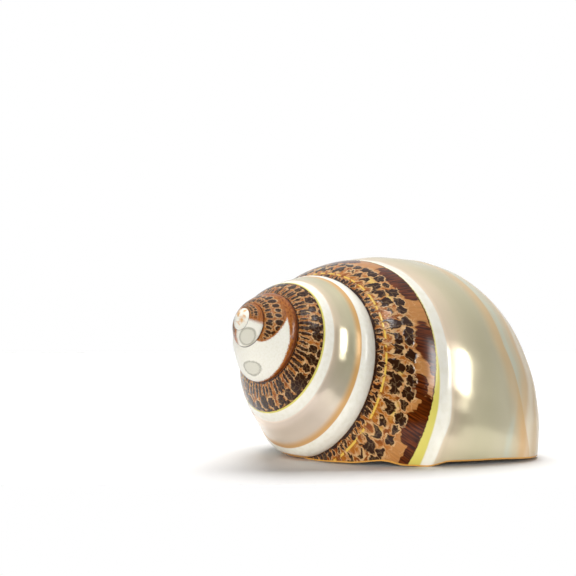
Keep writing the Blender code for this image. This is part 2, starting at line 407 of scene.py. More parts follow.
@dataclass
class TurbanShell:
    """The whole shell: the visible whorls, the base and columella, the lip and the cavity."""

    growth: Growth
    whorl: Whorl = field(default_factory=Whorl)
    relief: Relief = field(default_factory=Relief)
    density: Density = field(default_factory=Density)
    markings: Markings = field(default_factory=Markings)
    wall: float = 1.9 * MM
    lip_wall: float = 1.1 * MM
    callus: float = 0.3 * MM
    wall_settles: float = math.radians(35)
    columella_radius: float = 5.5 * MM
    columella_tip: float = 64.0 * MM
    tip_bend: float = 3.45 * MM
    cavity_turns: float = 1.25
    lean_ramp: float = math.radians(200)
    lip_clearance: tuple[tuple[float, float], ...] = (
        (71.0, 0.1 * MM),
        (62.0, 0.4 * MM),
        (50.0, 1.1 * MM),
        (37.7, 0.25 * MM),
        (27.4, 0.0),
        (16.0, 0.9 * MM),
        (-6.5, 0.9 * MM),
        (-35.0, 0.5 * MM),
        (-45.0, 0.0),
        (-60.0, 0.0),
    )

    def section(
        self, turn: np.ndarray, station: np.ndarray, inset: float = 0.0
    ) -> tuple[np.ndarray, np.ndarray]:
        """The shell's surface, with each whorl's lower edge brought to the next suture.

        Args:
            turn: Turn angles.
            station: Stations round the whorl.
            inset: How far inside the surface, at turn angle 0's size.

        Returns:
            Distances from the axis and distances below the apex.
        """
        growth, whorl = self.growth, self.whorl
        across, down = whorl.point(station)
        normal_across, normal_down = whorl.normal(station)
        depth = self.relief.depth(turn, station, whorl) + inset
        across, down = across - depth * normal_across, down - depth * normal_down
        suture_across, suture_down = whorl.point(whorl.suture)
        lower_across, lower_down = whorl.point(whorl.lower_suture)
        share = smooth_step(-station, -whorl.suture, -whorl.lower_suture)
        last = growth.lip_turn - math.tau
        share = share * (1 - smooth_step(turn, last, last + self.lean_ramp))
        across = across + share * (growth.width_per_turn * suture_across - lower_across)
        down = down + share * (growth.length_per_turn * suture_down - lower_down)
        return across * np.exp(growth.width_rate * turn), down * np.exp(growth.length_rate * turn)

    def stations(self) -> np.ndarray:
        """Stations from the upper suture to the end of the base."""
        whorl, density = self.whorl, self.density
        spans = (
            (whorl.suture, whorl.brown_edge, density.brown),
            (whorl.brown_edge, whorl.pearl_top, density.ledge),
            (whorl.pearl_top, whorl.pearl_foot, density.pearl),
            (whorl.pearl_foot, whorl.lower_suture, density.lower),
            (whorl.lower_suture, whorl.base_end, density.base),
        )
        parts = [np.linspace(start, end, steps + 1)[:-1] for start, end, steps in spans]
        return np.concatenate(parts + [[whorl.base_end]])

    def clearances(self, around: np.ndarray) -> np.ndarray:
        """Heights of the lip over the ground at stations."""
        degrees = np.degrees(around)
        heights = np.full(len(around), self.lip_clearance[-1][1])
        for (upper, before), (lower, after) in zip(self.lip_clearance, self.lip_clearance[1:]):
            inside = (degrees <= upper) & (degrees >= lower)
            rise = before + (after - before) * smooth_step(-degrees, -upper, -lower)
            heights = np.where(inside, rise, heights)
        return heights

    def lip_turns(self, around: np.ndarray, inset: float = 0.0) -> np.ndarray:
        """Turn angles at which the wall comes down to the lip's edge, found by halving."""
        clearance = self.clearances(around)
        above = np.full(len(around), math.radians(-40))
        below = np.full(len(around), self.growth.lip_turn)
        for _ in range(30):
            middle = (above + below) / 2
            points = self.growth.place(middle, *self.section(middle, around, inset))
            too_high = points[:, 2] > clearance
            above = np.where(too_high, middle, above)
            below = np.where(too_high, below, middle)
        return np.append(self.growth.lip_turn, above[1:])

    def leaning(self, turn: float, lip: np.ndarray) -> np.ndarray:
        """Turn angles of one row, which leans back more and more towards the lip."""
        end = self.growth.lip_turn
        return turn + (lip - end) * smooth_step(turn, end - self.lean_ramp, end)

    def base_controls(
        self, turn: float, across: float, down: float, tip_turn: float,
        width: float = 1.0, length: float = 1.0,
    ) -> np.ndarray:
        """Control points of the curve from the end of the base to the tip of the columella.

        Args:
            turn: Turn angle of the base's end.
            across: Its distance from the axis.
            down: Its distance below the apex.
            tip_turn: Turn angle that the tip bends towards.
            width: Scale of the columella's width.
            length: Scale of its length.

        Returns:
            Four points.
        """
        tip_down = self.columella_tip * length
        above_tip = tip_down - 0.12 * (tip_down - down)
        controls = self.growth.place(
            np.array([turn, turn, turn, tip_turn]),
            np.array([across, 0.61 * across, self.columella_radius * width, self.tip_bend * width]),
            np.array([down, down + 0.225 * across, above_tip, tip_down]),
        )
        axis_point = self.growth.place(np.zeros(1), np.zeros(1), np.full(1, tip_down))[0]
        controls[2] += 0.6 * (controls[3] - axis_point)
        return controls

    @staticmethod
    def bend(controls: Sequence[np.ndarray], steps: int) -> np.ndarray:
        """Points along a curve with four control points, without its start."""
        share = np.linspace(0, 1, steps + 1)[1:, None]
        rest = 1 - share
        weights = (rest**3, 3 * share * rest**2, 3 * share**2 * rest, share**3)
        return sum(weight * control for weight, control in zip(weights, controls))

    @staticmethod
    def above_ground(points: np.ndarray, height: float = 0.0) -> np.ndarray:
        """The points, none of them lower than a height."""
        points[:, 2] = np.maximum(points[:, 2], height)
        return points

    def outer_rows(self, draft: MeshDraft) -> tuple[list[list[int]], int]:
        """Adds the outside, one row of points to a step of the turn.

        Args:
            draft: The mesh.

        Returns:
            The rows, and how many points of a row show before the next whorl covers it.
        """
        growth, whorl, density = self.growth, self.whorl, self.density
        around = self.stations()
        lip = self.lip_turns(around)
        visible = int(np.argmin(abs(around - whorl.lower_suture))) + 1
        around[visible - 1] = whorl.lower_suture
        per_turn = density.steps_per_turn
        columns = round(growth.turns * per_turn) + 1
        last_turn = columns - 1 - per_turn
        coarse = round(density.coarse_turns * per_turn)
        tip_point = growth.place(
            np.array([growth.lip_turn]), np.array([self.tip_bend]), np.array([self.columella_tip])
        )
        tip = draft.add(self.above_ground(tip_point), growth.lip_turn, -math.pi / 2)
        rows: list[list[int]] = [[] for _ in range(columns)]
        for index in reversed(range(columns)):
            turn = growth.first_turn + math.tau / per_turn * index
            every = 2 if index < coarse else 1
            if index == 0:
                # The spiral starts at a point of the suture.
                rows[0] = [rows[per_turn][0]] * len(around[:visible:every])
            elif index < last_turn:
                seen = around[: visible - 1 : every]
                points = growth.place(np.full(len(seen), turn), *self.section(turn, seen))
                if index < per_turn:
                    lower = draft.points[rows[index + per_turn][0]]
                    points = lower + (points - lower) * index / per_turn
                rows[index] = draft.add(points, turn, seen) + [rows[index + per_turn][0]]
            else:
                leaning = self.leaning(turn, lip)
                across, down = self.section(leaning, around)
                row = draft.add(growth.place(leaning, across, down), leaning, around)
                if index == last_turn:
                    row[visible - 1] = rows[-1][0]
                controls = self.base_controls(leaning[-1], across[-1], down[-1], growth.lip_turn)
                base = self.above_ground(self.bend(controls, density.columella))
                fall = np.linspace(whorl.base_end, -math.pi / 2, density.columella + 1)[1:-1]
                rows[index] = row + draft.add(base[:-1], leaning[-1], fall) + tip
        for left, right in zip(rows, rows[1:]):
            if len(right) > len(left) and len(left) == visible // 2 + 1:
                draft.strip(left, right[:visible], Zone.OUTSIDE)
            else:
                shared = min(len(left), len(right))
                draft.strip(left[:shared], right[:shared], Zone.OUTSIDE)
        return rows, visible

    def cap_apex(self, draft: MeshDraft, edge: list[int]) -> None:
        """Closes the spiral's start with a low dome."""
        ring = np.array([draft.points[number] for number in edge])
        centre = ring.mean(axis=0)
        rise = 0.55 * np.linalg.norm(ring - centre, axis=1).mean() * self.growth.axes[0]
        rings = 8
        outer = edge
        for step in range(1, rings + 1):
            share = step / (rings + 1)
            points = ring + share * (centre - ring) + rise * math.sin(share * math.pi / 2)
            inner = draft.add(points, self.growth.first_turn, 0.0)
            draft.strip(outer + outer[:1], inner + inner[:1], Zone.OUTSIDE)
            outer = inner
        top = draft.add(centre + rise, self.growth.first_turn, 0.0)
        draft.strip(outer + outer[:1], top * (len(outer) + 1), Zone.OUTSIDE)

    def cavity_loop(
        self, draft: MeshDraft, turn: float, visible: int, mouth: list[int] | None = None
    ) -> list[int]:
        """One loop round the cavity: parietal wall, columella, floor, and the inside of the wall.

        Args:
            draft: The mesh.
            turn: The loop's turn angle.
            visible: How many points of a row show before the next whorl covers it.
            mouth: The parietal wall and columella at the mouth, where they are on the outside.

        Returns:
            The loop's numbers.
        """
        growth, whorl, density = self.growth, self.whorl, self.density
        around = self.stations()
        settled = float(smooth_step(growth.lip_turn - turn, 0.0, self.wall_settles))
        wall = self.lip_wall + (self.wall - self.lip_wall) * settled
        inset = wall / math.exp(growth.width_rate * growth.lip_turn)
        leaning = self.leaning(turn, self.lip_turns(around, inset))[1:]
        inner = growth.place(leaning, *self.section(leaning, around[1:], inset))[::-1]
        ratio = math.exp(growth.width_rate * (turn - growth.lip_turn))
        stretch = math.exp(growth.length_rate * (turn - growth.lip_turn))
        if mouth is None:
            before = turn - math.tau
            across, down = self.section(before, around[visible:], -self.callus * settled)
            controls = self.base_controls(turn, across[-1], down[-1], turn, ratio, stretch)
            pillar = self.bend(controls, density.columella)[: density.columella_in_cavity]
            turns = np.full(len(across), turn)
            mouth = draft.add(growth.place(turns, across, down), before, around[visible:])
            mouth = mouth + draft.add(pillar, turn, -math.pi / 2)
        foot = draft.points[mouth[-1]]
        across, down = self.section(leaning[-1], whorl.base_end)
        base = self.base_controls(leaning[-1], float(across), float(down), turn, ratio, stretch)
        controls = [
            foot,
            foot + 0.7 * (base[2] - base[3]),
            inner[0] + 0.85 * (base[1] - base[0]),
            inner[0],
        ]
        floor = self.bend(controls, density.columella_in_cavity)[:-1]
        floor = self.above_ground(floor, wall * settled)
        numbers = draft.add(floor, leaning[-1], -math.pi / 2)
        return mouth + numbers + draft.add(inner, leaning[::-1], around[1:][::-1])

    def draft_mesh(self) -> MeshDraft:
        """Outside, lip and cavity, as one closed mesh."""
        growth, density = self.growth, self.density
        draft = MeshDraft()
        rows, visible = self.outer_rows(draft)
        self.cap_apex(draft, [row[0] for row in rows[: density.steps_per_turn]])
        lip, start = rows[-1], rows[-1 - density.steps_per_turn]
        base_end = len(self.stations())
        floor_steps = density.columella_in_cavity - 1
        mouth = start[visible : base_end + density.columella_in_cavity]
        loops = [self.cavity_loop(draft, growth.lip_turn, visible, mouth)]
        step = math.tau / density.steps_per_turn * density.cavity_step
        for number in range(1, round(self.cavity_turns * math.tau / step) + 1):
            loops.append(self.cavity_loop(draft, growth.lip_turn - number * step, visible))
            draft.strip(loops[-1] + loops[-1][:1], loops[-2] + loops[-2][:1], Zone.INSIDE)
        end = loops[-1]
        middle = np.mean([draft.points[number] for number in end], axis=0)
        centre = draft.add(middle, growth.lip_turn - math.tau, 0.0)
        draft.strip(centre * (len(end) + 1), end + end[:1], Zone.INSIDE)

        # The lip's edge joins the outside to the inside, and its foot joins the columella's tip.
        inner_edge = loops[0][len(mouth) + floor_steps :][::-1]
        draft.face([mouth[0], inner_edge[0], lip[1], lip[0]], Zone.LIP_EDGE)
        draft.strip(lip[1:base_end], inner_edge, Zone.LIP_EDGE)
        floor = loops[0][len(mouth) - 1 : len(mouth) + floor_steps][::-1]
        rest_of_start = start[base_end + density.columella_in_cavity :]
        draft.strip(lip[base_end - 1 :], inner_edge[-1:] + floor + rest_of_start, Zone.LIP_EDGE)
        return draft

    def build(self, finishes: dict[Zone, bpy.types.Material]) -> bpy.types.Object:
        """Makes the shell's object and dresses it.

        Args:
            finishes: A material for each zone.

        Returns:
            The object.
        """
        draft = self.draft_mesh()
        mesh = bpy.data.meshes.new("turban_shell_body")
        mesh.from_pydata([tuple(point) for point in draft.points], [], draft.faces)
        turn = np.degrees(np.array(draft.turns, float))
        station = np.degrees(np.array(draft.stations, float))
        fields = self.markings.fields(turn, station)
        heights = np.array([point[2] for point in draft.points])
        fields["lip"] = (heights - self.clearances(np.radians(station))) / MM
        fields["turn"] = turn
        fields["station"] = station
        for name, values in fields.items():
            layer = mesh.attributes.new(name, "FLOAT", "POINT")
            layer.data.foreach_set("value", values.astype(np.float32))
        # Millimetres along and across the whorl, at turn angle 0's size.
        lay = np.stack([turn * 0.46, station * 0.37, np.zeros(len(turn))], axis=1)
        layer = mesh.attributes.new("lay", "FLOAT_VECTOR", "POINT")
        layer.data.foreach_set("vector", lay.astype(np.float32).ravel())
        for zone in Zone:
            mesh.materials.append(finishes[zone])
        zones = np.array([zone.value for zone in draft.zones], np.int32)
        mesh.polygons.foreach_set("material_index", zones)
        mesh.polygons.foreach_set("use_smooth", np.ones(len(zones), bool))
        mesh.update()
        mesh.set_sharp_from_angle(angle=math.radians(50))
        shell = bpy.data.objects.new("turban_shell_body", mesh)
        bpy.context.scene.collection.objects.link(shell)
        return shell


def add_node(
    tree: bpy.types.NodeTree,
    kind: str,
    inputs: dict[int | str, object] | None = None,
    output: int | str = 0,
    **settings: object,
) -> bpy.types.NodeSocket:
    """Adds a node with its settings and links.

    Args:
        tree: The node tree.
        kind: The node's type, without the word in front.
        inputs: Sockets to link or values to set, by the input's name or number.
        output: The output to return, by name or number.
        settings: The node's own settings.

    Returns:
        The output.
    """
    node = tree.nodes.new("ShaderNode" + kind)
    for name, value in settings.items():
        setattr(node, name, value)
    for key, value in (inputs or {}).items():
        if isinstance(value, bpy.types.NodeSocket):
            tree.links.new(value, node.inputs[key])
        else:
            node.inputs[key].default_value = value
    return node.outputs[output] if len(node.outputs) else None


BLEND = {"data_type": "RGBA", "output": 2}
STEP = {"interpolation_type": "SMOOTHSTEP"}


@dataclass(frozen=True)
class MarkRow:
    """A row of dark marks along the whorl, one to a cell, with angles in degrees."""

    station: float
    per_turn: float
    half_width: float
    half_height: float
    sway: float
    hollow: float
    seed: float
    first_turn: float
    last_turn: float

    def depth(
        self, tree: bpy.types.NodeTree, turn: bpy.types.NodeSocket, station: bpy.types.NodeSocket
    ) -> bpy.types.NodeSocket:
        """How deep each point lies inside a mark.

        Args:
            tree: The node tree.
            turn: Turn angles in degrees.
            station: Stations in degrees.

        Returns:
            A number above 0 inside a mark, about 1 in its middle, and below 0 outside.
        """
        place = add_node(
            tree, "Math", {0: turn, 1: self.per_turn / 360, 2: self.seed}, operation="MULTIPLY_ADD"
        )
        cell = add_node(tree, "Math", {0: place}, operation="FLOOR")
        chance = add_node(tree, "TexWhiteNoise", {"W": cell}, "Color", noise_dimensions="1D")
        chance = add_node(tree, "VectorMath", {0: chance, 1: (0.5, 0.5, 0.5)}, operation="SUBTRACT")
        share = add_node(tree, "Math", {0: place}, operation="FRACT")
        where = add_node(tree, "CombineXYZ", {0: share, 1: station})
        where = add_node(tree, "VectorMath", {0: where, 1: (0.5, self.station, 0)}, operation="SUBTRACT")
        sway = add_node(tree, "VectorMath", {0: chance, 1: (0.4, self.sway, 0)}, operation="MULTIPLY")
        where = add_node(tree, "VectorMath", {0: where, 1: sway}, operation="SUBTRACT")
        size = (1 / self.half_width, 1 / self.half_height, 0)
        where = add_node(tree, "VectorMath", {0: where, 1: size}, operation="MULTIPLY")
        away = add_node(tree, "VectorMath", {0: where}, "Value", operation="LENGTH")
        depth = add_node(tree, "Math", {0: 1.0, 1: away}, operation="SUBTRACT")
        if self.hollow:
            # A second disc, towards the suture, cuts a mark to a crescent.
            cut = add_node(tree, "VectorMath", {0: where, 1: (0.25, 0.95, 0)}, operation="SUBTRACT")
            cut = add_node(tree, "VectorMath", {0: cut}, "Value", operation="LENGTH")
            cut = add_node(tree, "Math", {0: cut, 1: self.hollow}, operation="SUBTRACT")
            depth = add_node(tree, "Math", {0: depth, 1: cut}, operation="MINIMUM")
        sizes = add_node(tree, "SeparateXYZ", {0: chance}, 2)
        depth = add_node(tree, "Math", {0: sizes, 1: 0.5, 2: depth}, operation="MULTIPLY_ADD")
        starts = {0: turn, 1: self.first_turn - 8, 2: self.first_turn, 3: -1.5, 4: 0.0}
        ends = {0: turn, 1: self.last_turn, 2: self.last_turn + 8, 3: 0.0, 4: -1.5}
        for limits in (starts, ends):
            limit = add_node(tree, "MapRange", limits)
            depth = add_node(tree, "Math", {0: depth, 1: limit}, operation="ADD")
        return depth


@dataclass(frozen=True)
class PolishedTurbanShell:
    """The outside of a turban shell, ground in bands and polished.

    The brown outer layer is glossy with dark marks that stand a little proud. Grinding has cut through
    it to the white layer, at the bands' edges, and to the nacre, whose soft sheen mirrors the room.
    """

    tan: str = "A96420"
    tan_dark: str = "7A3A0C"
    tan_pink: str = "B37A42"
    mark: str = "2E1506"
    mark_edge: str = "D9B27C"
    blotch: str = "341000"
    blotch_light: str = "6C2E06"
    worn_edge: str = "B0641E"
    cord: str = "DDB850"
    gold_spot: str = "D3B458"
    suture_line: str = "2B1509"
    # suture_line also paints the shade in the spire's suture groove.
    brown_rim: str = "4A1E0C"
    yellow: str = "DACE66"
    white: str = "F1EEE2"
    worn: str = "EAE6D6"
    # rose is the nacre's pink tint, painted pale as well as a reflection of the bright table.
    rose: str = "F3E2D4"
    oval: str = "C2BEAC"
    oval_rim: str = "97927F"
    tip_spot: str = "D9A76C"
    tan_band: str = "D2A05C"
    lip_line: str = "DDA24C"
    nacre: tuple[tuple[float, str], ...] = (
        (-60, "DDCAAB"), (-38, "EBE0CC"), (-30, "DBC4A0"), (-26, "E9DCC4"), (-22, "DAC09A"),
        (-18, "CFC3A6"), (-15, "C9CAB6"), (-11, "CBC4A9"), (3, "C8C1A2"), (14, "D0C6A8"), (28, "E0CDB4"),
    )
    rows: tuple[MarkRow, ...] = (
        MarkRow(68.2, 100, 0.34, 1.7, 1.0, 0.0, 0.3, -250, 400),
        MarkRow(61.0, 48, 0.42, 4.8, 1.2, 1.0, 5.1, -250, 400),
        MarkRow(52.4, 58, 0.46, 2.9, 1.2, 0.0, 9.7, -250, 400),
        MarkRow(63.0, 62, 0.34, 7.0, 2.0, 0.0, 2.2, -560, -246),
        MarkRow(50.0, 34, 0.44, 6.0, 4.0, 0.0, 7.4, -620, -246),
        MarkRow(43.5, 46, 0.42, 2.4, 2.0, 0.0, 4.4, -620, -246),
        MarkRow(56.0, 44, 0.40, 8.0, 3.0, 0.0, 3.9, -1300, -570),
        MarkRow(30.0, 30, 0.42, 13.0, 8.0, 0.0, 1.7, -1300, -570),
        MarkRow(-66.0, 44, 0.40, 3.0, 2.0, 0.0, 1.1, -400, 400),
        MarkRow(-75.0, 40, 0.40, 3.2, 2.0, 0.0, 6.3, -400, 400),
        MarkRow(-84.0, 36, 0.40, 3.2, 2.0, 0.0, 8.5, -400, 400),
    )

    def make(self) -> bpy.types.Material:
        """Makes the material."""
        material = bpy.data.materials.new("polished_turban_shell")
        material.use_nodes = True
        tree = material.node_tree
        tree.nodes.clear()
        read = {
            name: add_node(tree, "Attribute", {}, "Fac", attribute_name=name)
            for name in ("turn", "station", "bare", "pearl", "yellow", "tan", "blotch", "oval", "gold", "lip")
        }
        lay = add_node(tree, "Attribute", {}, "Vector", attribute_name="lay")
        brown, height = self.brown_layer(tree, read, lay)
        bare = self.bare_layers(tree, read, lay)

        # The edge of the brown layer: a hair of dark brown, then the white layer.
        frayed = self.frayed(tree, read["bare"], lay, 0.5)
        # Wear on the spire leaves a ragged edge, and the brown thins to orange beside it.
        young = add_node(tree, "MapRange", {0: read["turn"], 1: -560.0, 2: -640.0}, **STEP)
        ragged = add_node(tree, "TexNoise", {"Vector": lay, "Scale": 1.6, "Detail": 3.0})
        ragged = add_node(tree, "MapRange", {0: ragged, 1: 0.3, 2: 0.7, 3: -4.5, 4: 2.5})
        ragged = add_node(tree, "Math", {0: ragged, 1: young}, operation="MULTIPLY")
        frayed = add_node(tree, "Math", {0: frayed, 1: ragged}, operation="ADD")
        worn_edge = add_node(tree, "MapRange", {0: frayed, 1: -7.0, 2: -1.5}, **STEP)
        worn_edge = add_node(tree, "Math", {0: worn_edge, 1: young}, operation="MULTIPLY")
        brown = add_node(tree, "Mix", {0: worn_edge, 6: brown, 7: linear(self.worn_edge)}, **BLEND)
        rim = add_node(tree, "MapRange", {0: frayed, 1: -1.3, 2: -0.3}, **STEP)
        old = add_node(tree, "Math", {0: 1.0, 1: young}, operation="SUBTRACT")
        rim = add_node(tree, "Math", {0: rim, 1: old}, operation="MULTIPLY")
        brown = add_node(tree, "Mix", {0: rim, 6: brown, 7: linear(self.brown_rim)}, **BLEND)
        is_bare = add_node(tree, "MapRange", {0: frayed, 1: -0.25, 2: 0.25}, **STEP)
        colour = add_node(tree, "Mix", {0: is_bare, 6: brown, 7: bare}, **BLEND)
        # On the spire the suture is painted as a dark line of shade in its groove, even where both sides are worn
        # white.
        seam = add_node(tree, "MapRange", {0: read["station"], 1: 69.0, 2: 70.4}, **STEP)
        seam = add_node(tree, "Math", {0: seam, 1: young}, operation="MULTIPLY")
        colour = add_node(tree, "Mix", {0: seam, 6: colour, 7: linear(self.suture_line)}, **BLEND)
        at_lip = add_node(tree, "MapRange", {0: read["lip"], 1: 0.40, 2: 0.15}, **STEP)
        colour = add_node(tree, "Mix", {0: at_lip, 6: colour, 7: linear(self.lip_line)}, **BLEND)

        # Nacre is part mirror, the white layer is plain gloss, and the brown layer has a sharp polish.
        is_pearl = add_node(tree, "MapRange", {0: read["pearl"], 1: -2.0, 2: 3.0}, **STEP)
        off_tan = add_node(tree, "MapRange", {0: read["tan"], 1: 1.0, 2: 9.0, 3: 0.1, 4: 0.45}, **STEP)
        metallic = add_node(tree, "Math", {0: is_pearl, 1: off_tan}, operation="MULTIPLY")
        smear = add_node(tree, "TexNoise", {"Vector": lay, "Scale": 0.25, "Detail": 3.0})
        smear = add_node(tree, "MapRange", {0: smear, 1: 0.3, 2: 0.7, 3: 0.18, 4: 0.25})
        roughness = add_node(tree, "Mix", {0: is_bare, 2: 0.13, 3: smear}, data_type="FLOAT")
        height = add_node(tree, "Mix", {0: is_bare, 2: height, 3: 0.0}, data_type="FLOAT")
        normal = add_node(tree, "Bump", {"Height": height, "Distance": 0.12 * MM, "Strength": 0.6})
        surface = {
            "Base Color": colour,
            "Metallic": metallic,
            "Roughness": roughness,
            "Normal": normal,
            "IOR": 1.43,
        }
        surface = add_node(tree, "BsdfPrincipled", surface)
        add_node(tree, "OutputMaterial", {"Surface": surface})
        return material

    def frayed(
        self, tree: bpy.types.NodeTree, value: bpy.types.NodeSocket, lay: bpy.types.NodeSocket, size: float
    ) -> bpy.types.NodeSocket:
        """A field whose edge is made a little uneven, by noise about half a millimetre across.

        Args:
            tree: The node tree.
            value: The field.
            lay: Millimetres along and across the whorl.
            size: How far the edge wanders, in the field's own measure.

        Returns:
            The field.
        """
        noise = add_node(tree, "TexNoise", {"Vector": lay, "Scale": 1.3, "Detail": 2.0})
        noise = add_node(tree, "Math", {0: noise, 1: 0.5}, operation="SUBTRACT")
        return add_node(tree, "Math", {0: noise, 1: size * 3, 2: value}, operation="MULTIPLY_ADD")

    def brown_layer(
        self, tree: bpy.types.NodeTree, read: dict[str, bpy.types.NodeSocket], lay: bpy.types.NodeSocket
    ) -> tuple[bpy.types.NodeSocket, bpy.types.NodeSocket]:
        """The outer layer: tan with growth lines, chestnut blotches, rows of dark marks and a gold cord.

        Args:
            tree: The node tree.
            read: The fields stored on the mesh.
            lay: Millimetres along and across the whorl.

        Returns:
            Its colour and its height.
        """
        # Growth lines lie across the whorl, about a third of a millimetre apart.
        along = add_node(tree, "VectorMath", {0: lay, 1: (1.0, 0.07, 1.0)}, operation="MULTIPLY")
        lines = add_node(tree, "TexNoise", {"Vector": along, "Scale": 2.6, "Detail": 3.0})
        cloud = add_node(tree, "TexNoise", {"Vector": lay, "Scale": 0.45, "Detail": 3.0})
        cloudy = add_node(tree, "MapRange", {0: cloud, 1: 0.36, 2: 0.66}, **STEP)
        colour = add_node(
            tree, "Mix", {0: cloudy, 6: linear(self.tan), 7: linear(self.tan_dark)}, **BLEND
        )
        outer = add_node(tree, "MapRange", {0: read["station"], 1: 53.0, 2: 48.0}, **STEP)
        grown = add_node(tree, "MapRange", {0: read["turn"], 1: -280.0, 2: -240.0}, **STEP)
        outer = add_node(tree, "Math", {0: outer, 1: grown}, operation="MULTIPLY")
        colour = add_node(tree, "Mix", {0: outer, 6: colour, 7: linear(self.tan_pink)}, **BLEND)

        # Blotches have stepped edges that follow the growth lines.
        torn = add_node(tree, "TexNoise", {"Vector": along, "Scale": 0.9, "Detail": 2.0})
        torn = add_node(tree, "Math", {0: torn, 1: 1.1, 2: -0.5}, operation="MULTIPLY_ADD")
        blotch = add_node(tree, "Math", {0: read["blotch"], 1: torn}, operation="ADD")
        blotch = add_node(tree, "MapRange", {0: blotch, 1: -0.02, 2: 0.10}, **STEP)
        chestnut = add_node(tree, "MapRange", {0: lines, 1: 0.35, 2: 0.7}, **STEP)
        chestnut = add_node(
            tree, "Mix", {0: chestnut, 6: linear(self.blotch), 7: linear(self.blotch_light)}, **BLEND
        )
        colour = add_node(tree, "Mix", {0: blotch, 6: colour, 7: chestnut}, **BLEND)
        # The spire darkens to chestnut along its lower suture.
        low = add_node(tree, "MapRange", {0: read["station"], 1: -13.0, 2: -25.0}, **STEP)
        young = add_node(tree, "MapRange", {0: read["turn"], 1: -560.0, 2: -600.0}, **STEP)
        low = add_node(tree, "Math", {0: low, 1: young}, operation="MULTIPLY")
        colour = add_node(tree, "Mix", {0: low, 6: colour, 7: linear(self.blotch_light)}, **BLEND)
        shade = add_node(tree, "MapRange", {0: lines, 1: 0.3, 2: 0.7, 3: 0.86, 4: 1.16})
        colour = add_node(tree, "VectorMath", {0: colour, "Scale": shade}, operation="SCALE")

        # Here and there between the rows the layer is worn to gold.
        spot = add_node(tree, "Math", {0: torn, 1: read["gold"]}, operation="ADD")
        spot = add_node(tree, "MapRange", {0: spot, 1: 0.0, 2: 0.75}, **STEP)
        spot = add_node(tree, "Math", {0: spot, 1: 0.9}, operation="MULTIPLY")
        colour = add_node(tree, "Mix", {0: spot, 6: colour, 7: linear(self.gold_spot)}, **BLEND)

        # The marks' outlines are wavy, from noise about a millimetre across.
        wave = add_node(tree, "TexNoise", {"Vector": lay, "Scale": 1.0, "Detail": 1.5}, "Color")
        wave = add_node(tree, "VectorMath", {0: wave, 1: (0.5, 0.5, 0.5)}, operation="SUBTRACT")
        wave = add_node(tree, "VectorMath", {0: wave, 1: (4.5, 4.5, 0.0)}, operation="MULTIPLY")
        shift = {
            name: add_node(tree, "SeparateXYZ", {0: wave}, number)
            for number, name in enumerate(("turn", "station"))
        }
        turn, station = (
            add_node(tree, "Math", {0: read[name], 1: shift[name]}, operation="ADD")
            for name in ("turn", "station")
        )
        marks = None
        for row in self.rows:
            depth = row.depth(tree, turn, station)
            if marks is None:
                marks = depth
            else:
                marks = add_node(tree, "Math", {0: marks, 1: depth}, operation="MAXIMUM")
        pale = add_node(tree, "MapRange", {0: marks, 1: -0.36, 2: -0.14}, **STEP)
        shown = add_node(tree, "MapRange", {0: cloud, 1: 0.40, 2: 0.58, 3: 0.25, 4: 0.85})
        pale = add_node(tree, "Math", {0: pale, 1: shown}, operation="MULTIPLY")
        dark = add_node(tree, "MapRange", {0: marks, 1: -0.08, 2: 0.10}, **STEP)
        colour = add_node(tree, "Mix", {0: pale, 6: colour, 7: linear(self.mark_edge)}, **BLEND)
        colour = add_node(tree, "Mix", {0: dark, 6: colour, 7: linear(self.mark)}, **BLEND)

        # A net of pale threads, just under a millimetre apart, crosses the marked zone.
        net_place = add_node(tree, "CombineXYZ", {0: turn, 1: station})
        net_place = add_node(tree, "VectorMath", {0: net_place, 1: (0.40, 0.28, 0)}, operation="MULTIPLY")
        net = {"Vector": net_place, "Scale": 0.6}
        net = add_node(tree, "TexVoronoi", net, feature="DISTANCE_TO_EDGE", voronoi_dimensions="2D")
        net = add_node(tree, "MapRange", {0: net, 1: 0.08, 2: 0.02}, **STEP)
        near = add_node(tree, "MapRange", {0: marks, 1: -1.6, 2: -0.2}, **STEP)
        near = add_node(tree, "Math", {0: dark, 1: -0.7, 2: near}, operation="MULTIPLY_ADD")
        near = add_node(tree, "Math", {0: near, 1: blotch}, operation="SUBTRACT", use_clamp=True)
        net = add_node(tree, "Math", {0: net, 1: near}, operation="MULTIPLY")
        net = add_node(tree, "Math", {0: net, 1: 0.40}, operation="MULTIPLY")
        colour = add_node(tree, "Mix", {0: net, 6: colour, 7: linear(self.mark_edge)}, **BLEND)

        # The cord near the suture is gold, worn away in places, and the suture itself is dark.
        off_cord = add_node(tree, "Math", {0: read["station"], 1: 65.4}, operation="SUBTRACT")
        off_cord = add_node(tree, "Math", {0: off_cord}, operation="ABSOLUTE")
        cord = add_node(tree, "MapRange", {0: off_cord, 1: 0.75, 2: 0.3}, **STEP)
        gap = add_node(tree, "MapRange", {0: cloud, 1: 0.56, 2: 0.50}, **STEP)
        cord = add_node(tree, "Math", {0: cord, 1: gap}, operation="MULTIPLY")
        cord = add_node(tree, "Math", {0: cord, 1: grown}, operation="MULTIPLY")
        colour = add_node(tree, "Mix", {0: cord, 6: colour, 7: linear(self.cord)}, **BLEND)
        seam = add_node(tree, "MapRange", {0: station, 1: 69.2, 2: 70.2}, **STEP)
        colour = add_node(tree, "Mix", {0: seam, 6: colour, 7: linear(self.suture_line)}, **BLEND)

        height = add_node(tree, "MapRange", {0: marks, 1: -0.35, 2: 0.35})
        height = add_node(tree, "Math", {0: net, 1: 0.5, 2: height}, operation="MULTIPLY_ADD")
        height = add_node(tree, "Math", {0: lines, 1: 0.5, 2: height}, operation="MULTIPLY_ADD")
        return colour, height

    def bare_layers(
        self, tree: bpy.types.NodeTree, read: dict[str, bpy.types.NodeSocket], lay: bpy.types.NodeSocket
    ) -> bpy.types.NodeSocket:
        """What grinding and wear have laid bare: white layer, yellow edge, nacre and tan band.

        Args:
            tree: The node tree.
            read: The fields stored on the mesh.
            lay: Millimetres along and across the whorl.

        Returns:
            The colour.
        """
